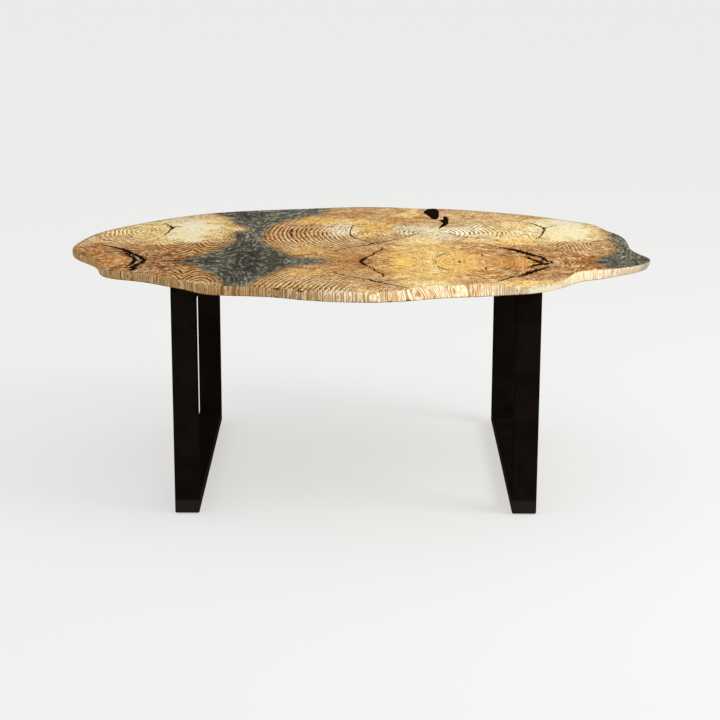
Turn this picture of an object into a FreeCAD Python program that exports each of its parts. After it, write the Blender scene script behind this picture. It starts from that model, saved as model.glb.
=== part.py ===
import FreeCAD, Part
import math
import os

import Sketcher
from FreeCAD import Placement, Rotation, Vector

# Live-edge slab table on two box-section leg frames. Lengths are in millimetres.
# +X runs along the slab, +Y to the back, +Z up. The origin is on the floor, under the middle
# of the slab's bounding box.

doc = FreeCAD.newDocument("slab_table")
sheet = doc.addObject("Spreadsheet::Sheet", "sizes")

SIZES = (
    ("slab_length", 1844.0),
    ("slab_depth", 1389.0),
    ("slab_thickness", 30.0),
    ("edge_bulge", 3.0),
    ("tube_width", 76.2),
    ("tube_depth", 50.8),
    ("tube_wall", 3.2),
    ("tube_corner", 5.0),
    ("base_width", 1124.0),
    ("base_depth", 1000.0),
    ("base_height", 723.0),
    ("base_shift_left", 3.0),
    ("base_shift_back", 19.5),
    ("plate_length", 760.0),
    ("plate_width", 150.0),
    ("plate_thickness", 6.0),
    ("plate_corner", 10.0),
    ("recess_gap", 0.5),
    ("bolt_row_spacing", 116.0),
    ("bolt_rank_spacing", 620.0),
    ("bolt_radius", 4.0),
    ("bolt_length", 16.0),
    ("head_radius", 8.5),
    ("head_height", 2.4),
    ("socket_radius", 2.9),
    ("socket_depth", 4.0),
    ("bolt_play", 0.5),
    ("thread_gap", 0.05),
    ("insert_radius", 6.5),
    ("insert_length", 10.0),
    ("glide_radius", 19.0),
    ("glide_height", 4.0),
    ("glide_inset", 60.0),
    ("stem_radius", 5.0),
    ("stem_length", 12.0),
    ("stem_gap", 0.1),
    ("overrun", 20.0),
)
for row, (alias, value) in enumerate(SIZES, start=1):
    sheet.set("A%d" % row, alias)
    sheet.set("B%d" % row, str(value))
    sheet.setAlias("B%d" % row, alias)
doc.recompute()


def size(alias):
    return float(sheet.get(alias))


# Outline of the slab's top face, anticlockwise from the left tip: place along the slab and
# across it as shares of its half length and half depth, then how far the underside stands out
# past the top face there, as a share of the thickness.
OUTLINE_SHARES = (
    (-0.998, -0.070, 0.00), (-0.984, -0.155, -0.25), (-0.955, -0.230, -0.40),
    (-0.920, -0.300, -0.40), (-0.890, -0.360, -0.15), (-0.871, -0.440, 0.00),
    (-0.852, -0.530, -0.30), (-0.812, -0.576, -0.40), (-0.751, -0.598, -0.15),
    (-0.682, -0.634, 0.15), (-0.615, -0.708, 0.05), (-0.556, -0.785, -0.25),
    (-0.500, -0.842, 0.00), (-0.430, -0.870, 0.00), (-0.345, -0.880, 0.05),
    (-0.260, -0.905, 0.00), (-0.185, -0.940, 0.10), (-0.105, -0.975, 0.00),
    (-0.025, -0.990, 0.00), (0.065, -0.976, 0.35), (0.145, -0.938, 0.70),
    (0.205, -0.884, 1.20), (0.298, -0.840, 1.35), (0.394, -0.838, 0.95),
    (0.488, -0.860, -0.40), (0.575, -0.846, -0.80), (0.640, -0.795, -0.90),
    (0.678, -0.720, -0.50), (0.704, -0.640, 0.00), (0.738, -0.562, 0.40),
    (0.807, -0.527, 0.10), (0.875, -0.495, -0.60), (0.930, -0.452, -0.80),
    (0.972, -0.390, -0.70), (0.998, -0.310, -0.40), (0.985, -0.230, -0.10),
    (0.966, -0.160, 0.00), (0.954, -0.070, 0.10), (0.957, 0.060, 0.20),
    (0.954, 0.190, 0.30), (0.936, 0.290, 0.40), (0.908, 0.375, 0.40),
    (0.888, 0.470, 0.50), (0.850, 0.552, 0.60), (0.782, 0.625, 0.60),
    (0.708, 0.703, 0.60), (0.620, 0.776, 0.70), (0.520, 0.838, 0.70),
    (0.420, 0.890, 0.70), (0.332, 0.926, 0.70), (0.250, 0.930, 0.70),
    (0.160, 0.956, 0.70), (0.060, 0.974, 0.70), (-0.060, 0.962, 0.70),
    (-0.180, 0.926, 0.70), (-0.310, 0.889, 0.70), (-0.440, 0.847, 0.80),
    (-0.560, 0.786, 1.00), (-0.662, 0.697, 0.90), (-0.748, 0.596, 0.70),
    (-0.822, 0.490, 0.60), (-0.885, 0.388, 0.50), (-0.935, 0.283, 0.40),
    (-0.968, 0.172, 0.30), (-0.988, 0.050, 0.10),
)

# Heights of the outline sections of the live edge, as shares of the thickness from below.
SECTION_SHARES = (0.0, 0.35, 0.75, 1.0)

# Resin-filled openings in the top face: corners as shares of the slab's half length and depth.
KNOT_SHARES = (
    (0.262, 0.908), (0.312, 0.906), (0.314, 0.820), (0.306, 0.730), (0.296, 0.660),
    (0.284, 0.655), (0.272, 0.720), (0.252, 0.780), (0.248, 0.850),
)
KNOT_TAIL_SHARES = (
    (0.328, 0.745), (0.339, 0.715), (0.337, 0.620), (0.329, 0.500), (0.324, 0.478),
    (0.319, 0.520), (0.311, 0.610), (0.319, 0.680),
)
LEFT_CHECK_SHARES = (
    (-0.898, 0.012), (-0.850, -0.062), (-0.800, -0.118), (-0.762, -0.195), (-0.730, -0.265),
    (-0.716, -0.330), (-0.718, -0.410), (-0.730, -0.480), (-0.732, -0.540), (-0.748, -0.583),
    (-0.764, -0.520), (-0.758, -0.450), (-0.744, -0.390), (-0.742, -0.330), (-0.764, -0.270),
    (-0.792, -0.205), (-0.826, -0.138), (-0.864, -0.075),
)
RIGHT_CHECK_SHARES = (
    (0.450, 0.020), (0.500, -0.040), (0.556, -0.118), (0.600, -0.190), (0.632, -0.250),
    (0.645, -0.340), (0.632, -0.430), (0.618, -0.500), (0.582, -0.560), (0.548, -0.625),
    (0.500, -0.690), (0.466, -0.765), (0.458, -0.755), (0.490, -0.680), (0.530, -0.612),
    (0.558, -0.545), (0.594, -0.480), (0.608, -0.420), (0.612, -0.345), (0.602, -0.270),
    (0.572, -0.200), (0.536, -0.140), (0.490, -0.062),
)
CENTRE_CHECK_SHARES = (
    (0.088, -0.085), (0.056, -0.190), (0.038, -0.265), (0.026, -0.355), (0.034, -0.440),
    (0.054, -0.530), (0.080, -0.630), (0.088, -0.670), (0.074, -0.640), (0.044, -0.535),
    (0.022, -0.445), (0.012, -0.360), (0.026, -0.265), (0.048, -0.185),
)
MIDDLE_CHECK_SHARES = (
    (0.191, 0.230), (0.142, 0.156), (0.076, 0.088), (0.058, 0.060), (0.031, 0.010),
    (-0.013, -0.066), (0.038, 0.000), (0.070, 0.046), (0.084, 0.076), (0.149, 0.149),
)
CHECK_DEPTH_SHARE = 0.2

half_length = size("slab_length") / 2
half_depth = size("slab_depth") / 2
underside = size("glide_height") + size("base_height")
nodes = []


def keep(piece, name):
    piece.Label = name
    nodes.append(piece)
    return piece


# Sketches and bodies

def originPlane(body, role):
    for feature in body.Origin.OriginFeatures:
        if feature.Role == role:
            return feature
    raise ValueError("no origin plane " + role)


def attachedSketch(body, name, role):
    sketch = body.newObject("Sketcher::SketchObject", name)
    sketch.AttachmentSupport = (originPlane(body, role), [""])
    sketch.MapMode = "FlatFace"
    return sketch


def placePoint(sketch, geometry, point, across, up, tag):
    # A coordinate given as "0" puts the point on the axis, any other is bound to the sheet.
    for kind, axis, value in (("DistanceX", -2, across), ("DistanceY", -1, up)):
        if value == "0":
            sketch.addConstraint(Sketcher.Constraint("PointOnObject", geometry, point, axis))
            continue
        index = sketch.addConstraint(Sketcher.Constraint(kind, -1, 1, geometry, point, 1.0))
        name = "%s_%s" % (kind[-1], tag)
        sketch.renameConstraint(index, name)
        sketch.setExpression("Constraints." + name, value)


def polygonSketch(body, name, role, corners):
    sketch = attachedSketch(body, name, role)
    count = len(corners)
    turn = 2 * math.pi / count
    start = [Vector(math.cos(turn * i), math.sin(turn * i), 0) for i in range(count)]
    for i in range(count):
        sketch.addGeometry(Part.LineSegment(start[i], start[(i + 1) % count]), False)
    for i in range(count):
        sketch.addConstraint(Sketcher.Constraint("Coincident", i, 2, (i + 1) % count, 1))
    for i, (across, up) in enumerate(corners):
        placePoint(sketch, i, 1, across, up, "corner%d" % i)
    return sketch


def rectangleCorners(width, depth):
    across = "(%s) / 2" % width
    up = "(%s) / 2" % depth
    return (("-" + across, "-" + up), (across, "-" + up), (across, up), ("-" + across, up))


def circleSketch(body, name, role, centres, radius):
    sketch = attachedSketch(body, name, role)
    for i, (across, up) in enumerate(centres):
        circle = Part.Circle(Vector(i, i, 0), Vector(0, 0, 1), 1.0)
        sketch.addGeometry(circle, False)
        placePoint(sketch, i, 3, across, up, "centre%d" % i)
        index = sketch.addConstraint(Sketcher.Constraint("Radius", i, 1.0))
        sketch.renameConstraint(index, "radius%d" % i)
        sketch.setExpression("Constraints.radius%d" % i, radius)
    return sketch


def newBody(name):
    return doc.addObject("PartDesign::Body", name)


def pad(body, sketch, length):
    feature = body.newObject("PartDesign::Pad", sketch.Name + "_pad")
    feature.Profile = sketch
    feature.setExpression("Length", length)
    return feature


def cutThrough(body, sketch):
    pocket = body.newObject("PartDesign::Pocket", sketch.Name + "_cut")
    pocket.Profile = sketch
    pocket.Type = "ThroughAll"
    pocket.Midplane = True
    return pocket


def roundEdges(body, base, radius, wanted):
    doc.recompute()
    names = ["Edge%d" % (i + 1) for i, edge in enumerate(base.Shape.Edges) if wanted(edge)]
    fillet = body.newObject("PartDesign::Fillet", base.Name + "_rounding")
    fillet.Base = (base, names)
    fillet.setExpression("Radius", radius)
    return fillet


def standing(edge):
    box = edge.BoundBox
    return box.ZLength > 0 and box.XLength + box.YLength < box.ZLength / 1000


def group(name, source, places):
    # Copies of one fastener or foot, kept together as separate solids.
    solids = []
    for place in places:
        solid = source.Shape.copy()
        solid.Placement = place.multiply(solid.Placement)
        solids.append(solid)
    piece = doc.addObject("Part::Feature", name)
    piece.Shape = Part.makeCompound(solids)
    return keep(piece, name)


# Slab: a ruled loft through outline sections, so that the live edge leans in and out and its
# top and bottom corners are eased

def sectionPoints(height_share):
    places = [(x * half_length, y * half_depth) for x, y, flare in OUTLINE_SHARES]
    bulge = size("edge_bulge") * 4 * height_share * (1 - height_share)
    points = []
    for i, (x, y) in enumerate(places):
        before = places[i - 1]
        after = places[(i + 1) % len(places)]
        along = Vector(after[0] - before[0], after[1] - before[1], 0).normalize()
        flare = OUTLINE_SHARES[i][2] * size("slab_thickness") * (1 - height_share)
        outward = Vector(along.y, -along.x, 0) * (flare + bulge)
        points.append(Vector(x, y, height_share * size("slab_thickness")) + outward)
    return points


def closedSpline(points):
    curve = Part.BSplineCurve()
    curve.interpolate(Points=points, PeriodicFlag=True)
    return curve


def fittedSections():
    # The sections are stretched a little so that together they fill the slab's length and depth.
    sections = [sectionPoints(share) for share in SECTION_SHARES]
    box = FreeCAD.BoundBox()
    for points in sections:
        box.add(closedSpline(points).toShape().optimalBoundingBox(False))
    for points in sections:
        for point in points:
            point.x = (point.x - box.Center.x) * 2 * half_length / box.XLength
            point.y = (point.y - box.Center.y) * 2 * half_depth / box.YLength
    return sections


def placedWire(name, wire, height):
    piece = doc.addObject("Part::Feature", name)
    piece.Shape = wire
    piece.Placement = Placement(Vector(0, 0, height), Rotation())
    return piece


blank = doc.addObject("Part::Loft", "slab_blank")
blank.Sections = [
    placedWire("slab_section_%d" % i, Part.Wire(closedSpline(points).toShape()), underside)
    for i, points in enumerate(fittedSections())
]
blank.Solid = True
blank.Ruled = True


# Resin fills, each cast in a pocket of the same outline

def fillWire(name, shares, height):
    points = [Vector(x * half_length, y * half_depth, 0) for x, y in shares]
    return placedWire(name, Part.makePolygon(points + points[:1]), height)


def extrusion(name, wire, up, down):
    piece = doc.addObject("Part::Extrusion", name)
    piece.Base = wire
    piece.DirMode = "Custom"
    piece.Dir = Vector(0, 0, 1)
    piece.Solid = True
    piece.setExpression("LengthFwd", up)
    piece.setExpression("LengthRev", down)
    return piece


def throughFill(name, shares):
    wire = fillWire(name + "_outline", shares, underside)
    keep(extrusion(name, wire, "sizes.slab_thickness", "0"), name)
    return extrusion(name + "_pocket", wire, "sizes.slab_thickness + sizes.overrun", "sizes.overrun")


def checkFill(name, shares):
    depth = "sizes.slab_thickness * %s" % CHECK_DEPTH_SHARE
    floor = underside + size("slab_thickness") * (1 - CHECK_DEPTH_SHARE)
    wire = fillWire(name + "_outline", shares, floor)
    keep(extrusion(name, wire, depth, "0"), name)
    return extrusion(name + "_pocket", wire, depth + " + sizes.overrun", "0")


slab_tools = [
    throughFill("knot_resin", KNOT_SHARES),
    throughFill("knot_tail_resin", KNOT_TAIL_SHARES),
    checkFill("left_check_resin", LEFT_CHECK_SHARES),
    checkFill("right_check_resin", RIGHT_CHECK_SHARES),
    checkFill("centre_check_resin", CENTRE_CHECK_SHARES),
    checkFill("middle_check_resin", MIDDLE_CHECK_SHARES),
]


# Mounting plates on the top rails, let into the underside of the slab

def railPlace(side):
    # The middle of a leg frame on the floor: side is -1 at the left, 1 at the right.
    reach = (size("base_width") - size("tube_width")) / 2
    return Vector(side * reach - size("base_shift_left"), size("base_shift_back"), 0)


def boltOffsets():
    row = size("bolt_row_spacing") / 2
    rank = size("bolt_rank_spacing") / 2
    return ((-row, -rank), (-row, rank), (row, -rank), (row, rank))


def plateBlock(name, extra):
    # A flat block with rounded corners, larger than the plate by extra on every side.
    body = newBody(name)
    corners = rectangleCorners("sizes.plate_width + 2 * " + extra, "sizes.plate_length + 2 * " + extra)
    sketch = polygonSketch(body, name + "_outline", "XY_Plane", corners)
    block = pad(body, sketch, "sizes.plate_thickness")
    roundEdges(body, block, "sizes.plate_corner + " + extra, standing)
    return body


def mountingPlate(name, side):
    body = plateBlock(name, "0")
    centres = rectangleCorners("sizes.bolt_row_spacing", "sizes.bolt_rank_spacing")
    radius = "sizes.bolt_radius + sizes.bolt_play"
    cutThrough(body, circleSketch(body, name + "_holes", "XY_Plane", centres, radius))
    body.Placement = Placement(railPlace(side) + Vector(0, 0, underside), Rotation())
    return keep(body, name)


def insertHole(name, place):
    hole = doc.addObject("Part::Cylinder", name)
    hole.setExpression("Radius", "sizes.insert_radius")
    hole.setExpression("Height", "sizes.plate_thickness + sizes.insert_length")
    hole.Placement = Placement(place + Vector(0, 0, underside), Rotation())
    return hole


bolt_places = []
for side, side_name in ((-1, "left"), (1, "right")):
    mountingPlate(side_name + "_mounting_plate", side)
    recess = plateBlock(side_name + "_recess", "sizes.recess_gap")
    recess.Placement = Placement(railPlace(side) + Vector(0, 0, underside), Rotation())
    slab_tools.append(recess)
    for across, along in boltOffsets():
        bolt_places.append(railPlace(side) + Vector(across, along, 0))
for i, place in enumerate(bolt_places):
    slab_tools.append(insertHole("insert_hole_%d" % i, place))

slab_cuts = doc.addObject("Part::MultiFuse", "slab_cuts")
slab_cuts.Shapes = slab_tools
slab = doc.addObject("Part::Cut", "slab_top")
slab.Base = blank
slab.Tool = slab_cuts
keep(slab, "slab_top")


# Leg frames: four mitred box-section tubes each

def tube(name, length):
    # A tube along its own +Z. Its outer side, at -Y, has the full length and its inner side is
    # shorter by the tube's depth at each end, which leaves the mitres.
    body = newBody(name)
    outer = polygonSketch(body, name + "_outer", "XY_Plane",
                          rectangleCorners("sizes.tube_width", "sizes.tube_depth"))
    roundEdges(body, pad(body, outer, length), "sizes.tube_corner", standing)
    width = "sizes.tube_width - 2 * sizes.tube_wall"
    depth = "sizes.tube_depth - 2 * sizes.tube_wall"
    cutThrough(body, polygonSketch(body, name + "_bore", "XY_Plane", rectangleCorners(width, depth)))
    near = "-sizes.tube_depth / 2 - sizes.overrun"
    far = "sizes.tube_depth / 2 + sizes.overrun"
    deep = "sizes.tube_depth + sizes.overrun"
    foot = ((near, "-sizes.overrun"), (far, "-sizes.overrun"), (far, deep))
    cutThrough(body, polygonSketch(body, name + "_foot_mitre", "YZ_Plane", foot))
    top = "%s + sizes.overrun" % length
    head = ((near, top), (far, "%s - sizes.tube_depth - sizes.overrun" % length), (far, top))
    cutThrough(body, polygonSketch(body, name + "_head_mitre", "YZ_Plane", head))
    return body


def glideHoles(body, length):
    centres = (("0", "sizes.glide_inset"), ("0", "%s - sizes.glide_inset" % length))
    sketch = circleSketch(body, body.Name + "_glide_holes", "XZ_Plane", centres,
                          "sizes.stem_radius + sizes.stem_gap")
    pocket = body.newObject("PartDesign::Pocket", body.Name + "_glide_holes_cut")
    pocket.Profile = sketch
    pocket.Reversed = True
    pocket.setExpression("Length", "sizes.tube_depth / 2 + sizes.overrun")


def legFrame(side, side_name):
    middle = railPlace(side)
    front = middle.y - size("base_depth") / 2
    back = middle.y + size("base_depth") / 2
    low = size("glide_height")
    half = size("tube_depth") / 2
    upright = Rotation()
    turned = Rotation(Vector(0, 0, 1), 180)
    rail_down = Rotation(Vector(1, 0, 0), 90)
    rail_up = Rotation(Vector(1, 0, 0), -90)
    members = (
        ("front_upright", "sizes.base_height", Vector(middle.x, front + half, low), upright),
        ("rear_upright", "sizes.base_height", Vector(middle.x, back - half, low), turned),
        ("bottom_rail", "sizes.base_depth", Vector(middle.x, back, low + half), rail_down),
        ("top_rail", "sizes.base_depth", Vector(middle.x, front, underside - half), rail_up),
    )
    for member, length, place, turn in members:
        name = "%s_%s" % (side_name, member)
        body = tube(name, length)
        if member == "bottom_rail":
            glideHoles(body, length)
        body.Placement = Placement(place, turn)
        keep(body, name)


legFrame(-1, "left")
legFrame(1, "right")


# Fasteners and feet, drawn once each and copied to their places

def turnedPiece(name, corners):
    # A solid of revolution about its own Z axis.
    body = newBody(name)
    sketch = polygonSketch(body, name + "_profile", "XZ_Plane", corners)
    feature = body.newObject("PartDesign::Revolution", name + "_turned")
    feature.Profile = sketch
    feature.ReferenceAxis = (sketch, ["V_Axis"])
    feature.Angle = 360
    return body


def boltPiece():
    # Flat wide-headed bolt, its head's seat at the origin and its shank up.
    body = turnedPiece("bolt", (
        ("0", "-sizes.head_height"),
        ("sizes.head_radius", "-sizes.head_height"),
        ("sizes.head_radius", "0"),
        ("sizes.bolt_radius", "0"),
        ("sizes.bolt_radius", "sizes.bolt_length"),
        ("0", "sizes.bolt_length"),
    ))
    reach = "sizes.socket_radius"
    corners = [("%s * %s" % (reach, across), "%s * %s" % (reach, up))
               for across, up in (("cos(30)", "sin(30)"), ("-cos(30)", "sin(30)"),
                                  ("-cos(30)", "-sin(30)"), ("cos(30)", "-sin(30)"))]
    corners.insert(1, ("0", reach))
    corners.insert(4, ("0", "-" + reach))
    socket = polygonSketch(body, "bolt_socket", "XY_Plane", corners)
    socket.setExpression("AttachmentOffset.Base.z", "-sizes.head_height")
    pocket = body.newObject("PartDesign::Pocket", "bolt_socket_cut")
    pocket.Profile = socket
    pocket.Reversed = True
    pocket.setExpression("Length", "sizes.socket_depth")
    return body


def insertPiece():
    body = newBody("insert")
    outer = circleSketch(body, "insert_outer", "XY_Plane", (("0", "0"),), "sizes.insert_radius")
    pad(body, outer, "sizes.insert_length")
    thread = "sizes.bolt_radius + sizes.thread_gap"
    cutThrough(body, circleSketch(body, "insert_thread", "XY_Plane", (("0", "0"),), thread))
    return body


def glidePiece():
    # A thin round foot with its stem up, standing on its own origin.
    return turnedPiece("glide", (
        ("0", "0"),
        ("sizes.glide_radius", "0"),
        ("sizes.glide_radius", "sizes.glide_height"),
        ("sizes.stem_radius", "sizes.glide_height"),
        ("sizes.stem_radius", "sizes.glide_height + sizes.stem_length"),
        ("0", "sizes.glide_height + sizes.stem_length"),
    ))


bolt = boltPiece()
insert = insertPiece()
glide = glidePiece()
doc.recompute()


def placesAt(height):
    return [Placement(place + Vector(0, 0, height), Rotation()) for place in bolt_places]


group("plate_bolts", bolt, placesAt(underside))
group("slab_inserts", insert, placesAt(underside + size("plate_thickness")))

glide_reach = size("base_depth") / 2 - size("glide_inset")
group("floor_glides", glide, [
    Placement(railPlace(side) + Vector(0, end * glide_reach, 0), Rotation())
    for side in (-1, 1) for end in (-1, 1)
])

# Checks and files
doc.recompute()
for item in doc.Objects:
    if "Invalid" in item.State or "Error" in item.State:
        raise ValueError("%s failed: %s" % (item.Name, item.State))
for node in nodes:
    if node.Shape.isNull() or not node.Shape.isValid() or not node.Shape.Solids:
        raise ValueError("%s has no valid solid" % node.Label)
os.makedirs("parts", exist_ok=True)
for node in nodes:
    node.Shape.exportStep("parts/%s.step" % node.Label)
    box = node.Shape.BoundBox
    print("%-22s %2d solids %10.1f cm3  z %.1f to %.1f" % (
        node.Label, len(node.Shape.Solids), node.Shape.Volume / 1000, box.ZMin, box.ZMax))
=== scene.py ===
import math

import bpy
import numpy as np
from mathutils import Matrix, Vector


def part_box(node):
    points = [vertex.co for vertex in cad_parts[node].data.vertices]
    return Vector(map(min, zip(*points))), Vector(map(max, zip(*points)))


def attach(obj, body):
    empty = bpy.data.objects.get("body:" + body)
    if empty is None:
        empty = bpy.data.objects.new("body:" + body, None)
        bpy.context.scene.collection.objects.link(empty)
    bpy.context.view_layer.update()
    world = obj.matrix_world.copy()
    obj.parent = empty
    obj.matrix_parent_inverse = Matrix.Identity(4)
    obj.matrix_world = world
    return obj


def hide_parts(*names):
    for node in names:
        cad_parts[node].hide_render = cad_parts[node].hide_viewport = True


# Live-edge slab table on two black leg frames. Lengths are in metres unless a name says mm.

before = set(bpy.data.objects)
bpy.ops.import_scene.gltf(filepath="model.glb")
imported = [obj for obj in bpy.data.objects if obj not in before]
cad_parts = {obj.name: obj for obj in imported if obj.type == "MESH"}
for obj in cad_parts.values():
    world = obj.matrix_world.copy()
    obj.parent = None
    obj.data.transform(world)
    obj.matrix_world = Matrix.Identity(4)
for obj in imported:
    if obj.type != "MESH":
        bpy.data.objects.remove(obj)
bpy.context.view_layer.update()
scene = bpy.context.scene
scene.view_settings.view_transform = "Standard"
mm = 0.001
print("frame loaded:", len(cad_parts), "nodes")


# Camera: a long lens, a little above the table, looking down on it

cameraSetup = {
    "place": (0.0081, -6.1249, 2.0180),
    "downDegrees": 15.071,
    "turnDegrees": -0.007,
    "rollDegrees": 0.184,
    "lensMm": 95.95,
    "sensorMm": 36.0,
    "farClip": 200,
}


def addCamera(setup):
    data = bpy.data.cameras.new("camera")
    data.lens = setup["lensMm"]
    data.sensor_width = setup["sensorMm"]
    data.clip_end = setup["farClip"]
    camera = bpy.data.objects.new("camera", data)
    turn = Matrix.Rotation(math.radians(setup["turnDegrees"]), 4, "Z")
    tilt = Matrix.Rotation(math.radians(90 - setup["downDegrees"]), 4, "X")
    roll = Matrix.Rotation(math.radians(setup["rollDegrees"]), 4, "Z")
    camera.matrix_world = Matrix.Translation(setup["place"]) @ turn @ tilt @ roll
    scene.collection.objects.link(camera)
    scene.camera = camera


addCamera(cameraSetup)
print("camera placed")


# Shader helpers

def linear(hexColour):
    # sRGB hex to the linear red, green and blue that the shaders take
    parts = [int(hexColour[i:i + 2], 16) / 255 for i in (1, 3, 5)]
    return [c / 12.92 if c <= 0.04045 else ((c + 0.055) / 1.055) ** 2.4 for c in parts]


def colour(hexColour):
    return (*linear(hexColour), 1.0)


def startMaterial(name):
    material = bpy.data.materials.new(name)
    material.use_nodes = True
    tree = material.node_tree
    return material, tree, tree.nodes["Principled BSDF"]


def addNode(tree, kind, inputs=(), output=0, **settings):
    # Adds one node and gives back one of its outputs. The inputs come in order, or with their
    # names or places, and each is a number, a hex colour, a vector or another node's output.
    node = tree.nodes.new("ShaderNode" + kind)
    for key, value in settings.items():
        setattr(node, key, value)
    for key, value in inputs.items() if isinstance(inputs, dict) else enumerate(inputs):
        if isinstance(value, bpy.types.NodeSocket):
            tree.links.new(value, node.inputs[key])
        else:
            node.inputs[key].default_value = colour(value) if isinstance(value, str) else value
    return node.outputs[output]


def shake(tree, place, cells, detail, roughness, amount):
    # A swing either side of zero, amount * (noise - 0.5), from a noise with that many cells to the
    # metre
    value = addNode(tree, "TexNoise", {"Vector": place, "Scale": cells, "Detail": detail,
                                       "Roughness": roughness}, "Fac")
    return addNode(tree, "Math", (value, amount, -amount / 2), operation="MULTIPLY_ADD")


def layOver(tree, base, cover, driver, start=0.0, end=1.0, most=1.0, mode="MIX", curve="SMOOTHSTEP"):
    # The base colour with a cover on it: bare where the driver is at the start, and covered by the
    # most where it is at the end. A mix node has its factor in place 0, its colours in 6 and 7, and
    # their mix in output 2.
    share = addNode(tree, "MapRange", {"Value": driver, "From Min": start, "From Max": end,
                                       "To Min": 0.0, "To Max": most}, interpolation_type=curve)
    return addNode(tree, "Mix", {0: share, 6: base, 7: cover}, 2, data_type="RGBA", blend_type=mode)


# Mesh helpers

def closedRows(rows, head, tail):
    # A closed surface through rows of points that each go once round it: quads join neighbouring
    # rows, and fans join the end rows to the head and the tail points
    count, around = rows.shape[:2]
    points = np.concatenate([rows.reshape(-1, 3), [head, tail]])
    row, column = np.meshgrid(np.arange(count - 1), np.arange(around), indexing="ij")
    beside = (column + 1) % around
    quads = np.stack([row * around + column, (row + 1) * around + column,
                      (row + 1) * around + beside, row * around + beside], axis=-1).reshape(-1, 4)
    column = np.arange(around)
    beside = (column + 1) % around
    last = (count - 1) * around
    crown, foot = np.full(around, count * around), np.full(around, count * around + 1)
    fans = np.concatenate([np.stack([crown, column, beside], 1),
                           np.stack([foot, last + beside, last + column], 1)])
    triangles = np.concatenate([quads[:, [0, 1, 2]], quads[:, [0, 2, 3]], fans])
    a, b, c = (points[triangles[:, i]] - points[0] for i in range(3))
    if np.sum(a * np.cross(b, c)) < 0:   # the sign of the volume tells which way the faces look
        quads, fans = quads[:, ::-1], fans[:, ::-1]
    return points, quads, fans


def addMesh(name, parts, material):
    # One smooth object from closed surfaces, each given as points, quads and triangles
    starts = np.cumsum([0] + [len(part[0]) for part in parts])
    points = np.concatenate([part[0] for part in parts])
    faces = [face for kind in (1, 2) for part, start in zip(parts, starts)
             for face in (part[kind] + start).tolist()]
    mesh = bpy.data.meshes.new(name)
    mesh.from_pydata(points.tolist(), [], faces)
    mesh.materials.append(material)
    mesh.polygons.foreach_set("use_smooth", np.ones(len(mesh.polygons), bool))
    mesh.update()
    piece = bpy.data.objects.new(name, mesh)
    scene.collection.objects.link(piece)
    return piece


# Slab: the figure of the wood. Places are in millimetres, given on the top.

mirrorLine = -257.5   # the figure is book-matched front to back about this Y

tones = {
    "cream": "#ddd3ab", "butter": "#dfd6a8", "ivory": "#dacdb2", "bone": "#e4dab4",
    "straw": "#eacb80", "wheat": "#eed798", "lemon": "#ded58a", "gold": "#dfb667",
    "ochre": "#cfa460", "sun": "#e2be5c", "honey": "#c59458", "tan": "#c9a171",
    "fawn": "#d5b482", "amber": "#c38d4a", "rust": "#bb7a39", "chestnut": "#b47e49",
    "umber": "#9d6a3f", "pearl": "#eddfbb", "hazel": "#b88b58", "sand": "#cdae80",
    "shell": "#faf2cf", "milk": "#dfd8bc",
}

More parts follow.
